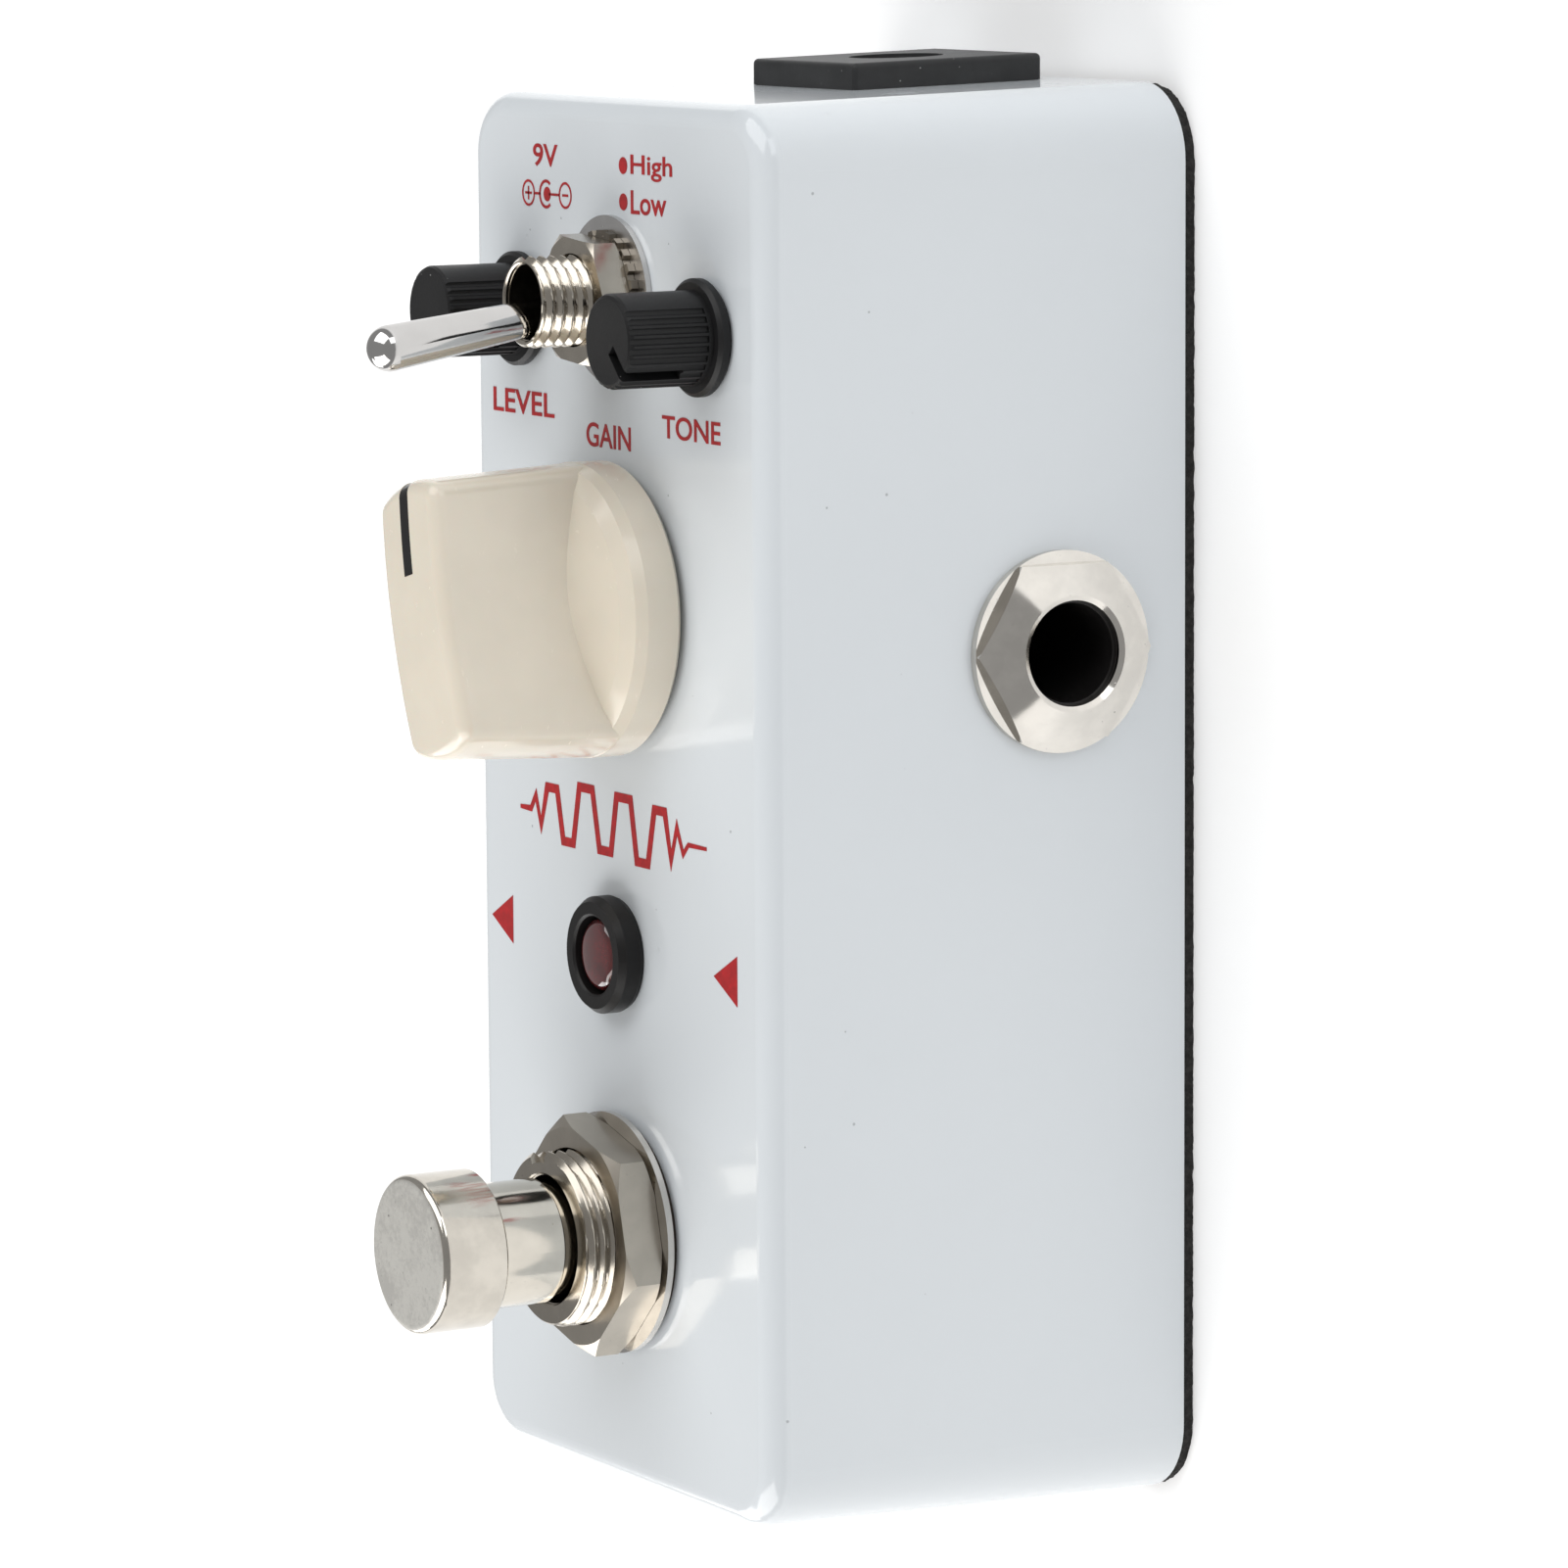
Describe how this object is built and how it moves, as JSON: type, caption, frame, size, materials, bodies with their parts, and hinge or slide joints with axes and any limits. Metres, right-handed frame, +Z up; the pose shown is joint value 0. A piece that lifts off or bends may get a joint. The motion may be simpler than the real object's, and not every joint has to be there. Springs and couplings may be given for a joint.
{
  "type": "guitar effects pedal",
  "caption": "Miniature guitar effects pedal: cast white box, large rotary knob, two small knobs, toggle, lamp, foot switch, plug sockets and power socket.",
  "frame": {"origin": "middle of the rubber pad's underside, midway between the side walls and midway between the end walls", "axes": "+Z up through the control face; +Y along the length towards the power socket; +X towards the side with the input socket"},
  "size_m": [0.0444, 0.0952, 0.0498],
  "materials": {
    "enclosure_paint": "gloss white enamel with a faint orange peel",
    "base_plate": "zinc plated sheet",
    "rubber_pad": "matt black sheet rubber",
    "base_screws": "blackened countersunk screws",
    "power_socket_body": "satin black moulding",
    "power_socket_pin": "nickel plated",
    "power_socket_contacts": "spring bronze",
    "main_board": "green solder resist",
    "capacitor_cans": "shrink sleeve",
    "film_capacitors": "dipped film",
    "chips": "moulded epoxy",
    "chip_leads": "tinned",
    "resistors": "chip resistors",
    "led_bezel": "satin black",
    "led_lens": "dark red tinted epoxy, unlit",
    "led_leads": "tinned",
    "dist_pot_can": "plated can",
    "dist_pot_bushing": "nickel plated brass",
    "dist_pot_nut": "nickel plated",
    "dist_pot_pins": "tinned",
    "dist_shaft": "turned",
    "dist_knob": "glossy cream moulding",
    "dist_knob_mark": "black inlay",
    "footswitch_insulator": "moulded fibre",
    "footswitch_washer": "nickel plated",
    "footswitch_nut": "nickel plated",
    "footswitch_inner_nut": "nickel plated",
    "footswitch_bushing": "nickel plated",
    "footswitch_case": "moulded phenolic",
    "footswitch_lugs": "silvered",
    "footswitch_stem": "nickel plated",
    "footswitch_cap": "nickel plated with a matt front",
    "footswitch_spring": "spring wire",
    "toggle_washer": "nickel plated",
    "toggle_lock_washer": "plated spring steel",
    "toggle_nut": "nickel plated",
    "toggle_bushing": "nickel plated",
    "toggle_case": "moulded phenolic",
    "toggle_lugs": "silvered",
    "toggle_lever": "bright chrome",
    "toggle_rocker": "silvered contact",
    "wiring": "insulated hook-up wire",
    "input_jack_nut": "nickel plated",
    "input_jack_bushing": "nickel plated",
    "input_jack_body": "black moulding",
    "input_jack_tip_spring": "spring bronze",
    "input_jack_sleeve_lug": "plated brass",
    "output_jack_nut": "nickel plated",
    "output_jack_bushing": "nickel plated",
    "output_jack_body": "black moulding",
    "output_jack_tip_spring": "spring bronze",
    "output_jack_sleeve_lug": "plated brass",
    "volume_pot_housing": "moulded",
    "volume_pot_pins": "tinned",
    "volume_shaft": "moulded nylon",
    "volume_knob": "satin black moulding",
    "contour_pot_housing": "moulded",
    "contour_pot_pins": "tinned",
    "contour_shaft": "moulded nylon",
    "contour_knob": "satin black moulding"
  },
  "bodies": {
    "housing": {"enclosure": "enclosure_paint", "base_plate": "base_plate", "rubber_pad": "rubber_pad", "base_screws": "base_screws", "power_socket_body": "power_socket_body", "power_socket_pin": "power_socket_pin", "power_socket_contacts": "power_socket_contacts", "main_board": "main_board", "electrolytic_capacitors": "capacitor_cans", "film_capacitors": "film_capacitors", "amplifier_chips": "chips", "chip_leads": "chip_leads", "resistors": "resistors", "led_bezel": "led_bezel", "led_lens": "led_lens", "led_leads": "led_leads", "dist_pot_can": "dist_pot_can", "dist_pot_bushing": "dist_pot_bushing", "dist_pot_nut": "dist_pot_nut", "dist_pot_pins": "dist_pot_pins", "footswitch_insulator": "footswitch_insulator", "footswitch_washer": "footswitch_washer", "footswitch_nut": "footswitch_nut", "footswitch_inner_nut": "footswitch_inner_nut", "footswitch_bushing": "footswitch_bushing", "footswitch_case": "footswitch_case", "footswitch_lugs": "footswitch_lugs", "footswitch_spring": "footswitch_spring", "toggle_washer": "toggle_washer", "toggle_lock_washer": "toggle_lock_washer", "toggle_nut": "toggle_nut", "toggle_bushing": "toggle_bushing", "toggle_case": "toggle_case", "toggle_lugs": "toggle_lugs", "wiring": "wiring", "input_jack_nut": "input_jack_nut", "input_jack_bushing": "input_jack_bushing", "input_jack_body": "input_jack_body", "input_jack_tip_spring": "input_jack_tip_spring", "input_jack_sleeve_lug": "input_jack_sleeve_lug", "output_jack_nut": "output_jack_nut", "output_jack_bushing": "output_jack_bushing", "output_jack_body": "output_jack_body", "output_jack_tip_spring": "output_jack_tip_spring", "output_jack_sleeve_lug": "output_jack_sleeve_lug", "volume_pot_housing": "volume_pot_housing", "volume_pot_pins": "volume_pot_pins", "contour_pot_housing": "contour_pot_housing", "contour_pot_pins": "contour_pot_pins"},
    "dist_control": {"dist_knob": "dist_knob", "dist_knob_mark": "dist_knob_mark", "dist_shaft": "dist_shaft"},
    "volume_control": {"volume_knob": "volume_knob", "volume_shaft": "volume_shaft"},
    "contour_control": {"contour_knob": "contour_knob", "contour_shaft": "contour_shaft"},
    "toggle_bat": {"toggle_lever": "toggle_lever"},
    "toggle_contact": {"toggle_rocker": "toggle_rocker"},
    "footswitch_button": {"footswitch_cap": "footswitch_cap", "footswitch_stem": "footswitch_stem"}
  },
  "joints": [
    {"name": "dist_turn", "type": "hinge", "parent": "housing", "child": "dist_control", "pos_m": [0, 0.0127, 0.038], "axis": [0, 0, 1], "range_deg": [-164.6, 135.4]},
    {"name": "volume_turn", "type": "hinge", "parent": "housing", "child": "volume_control", "pos_m": [-0.0122, 0.0317, 0.036], "axis": [0, 0, 1], "range_deg": [-14, 286]},
    {"name": "contour_turn", "type": "hinge", "parent": "housing", "child": "contour_control", "pos_m": [0.0122, 0.0311, 0.036], "axis": [0, 0, 1], "range_deg": [-14, 286]},
    {"name": "toggle_throw", "type": "hinge", "parent": "housing", "child": "toggle_bat", "pos_m": [0, 0.03295, 0.0312], "axis": [1, 0, 0], "range_deg": [-17.2, 0]},
    {"name": "toggle_contact_rock", "type": "hinge", "parent": "housing", "child": "toggle_contact", "pos_m": [0, 0.03295, 0.0232], "axis": [1, 0, 0], "range_deg": [0, 20]},
    {"name": "footswitch_press", "type": "slide", "parent": "housing", "child": "footswitch_button", "axis": [0, 0, -1], "range_m": [0, 0.0025], "stiffness_N_per_m": 2500, "springref_m": -0.004, "deforming": ["footswitch_spring"]}
  ],
  "couplings": [
    {"joint": "toggle_contact_rock", "follows": "toggle_throw", "ratio": -1.1627}
  ]
}
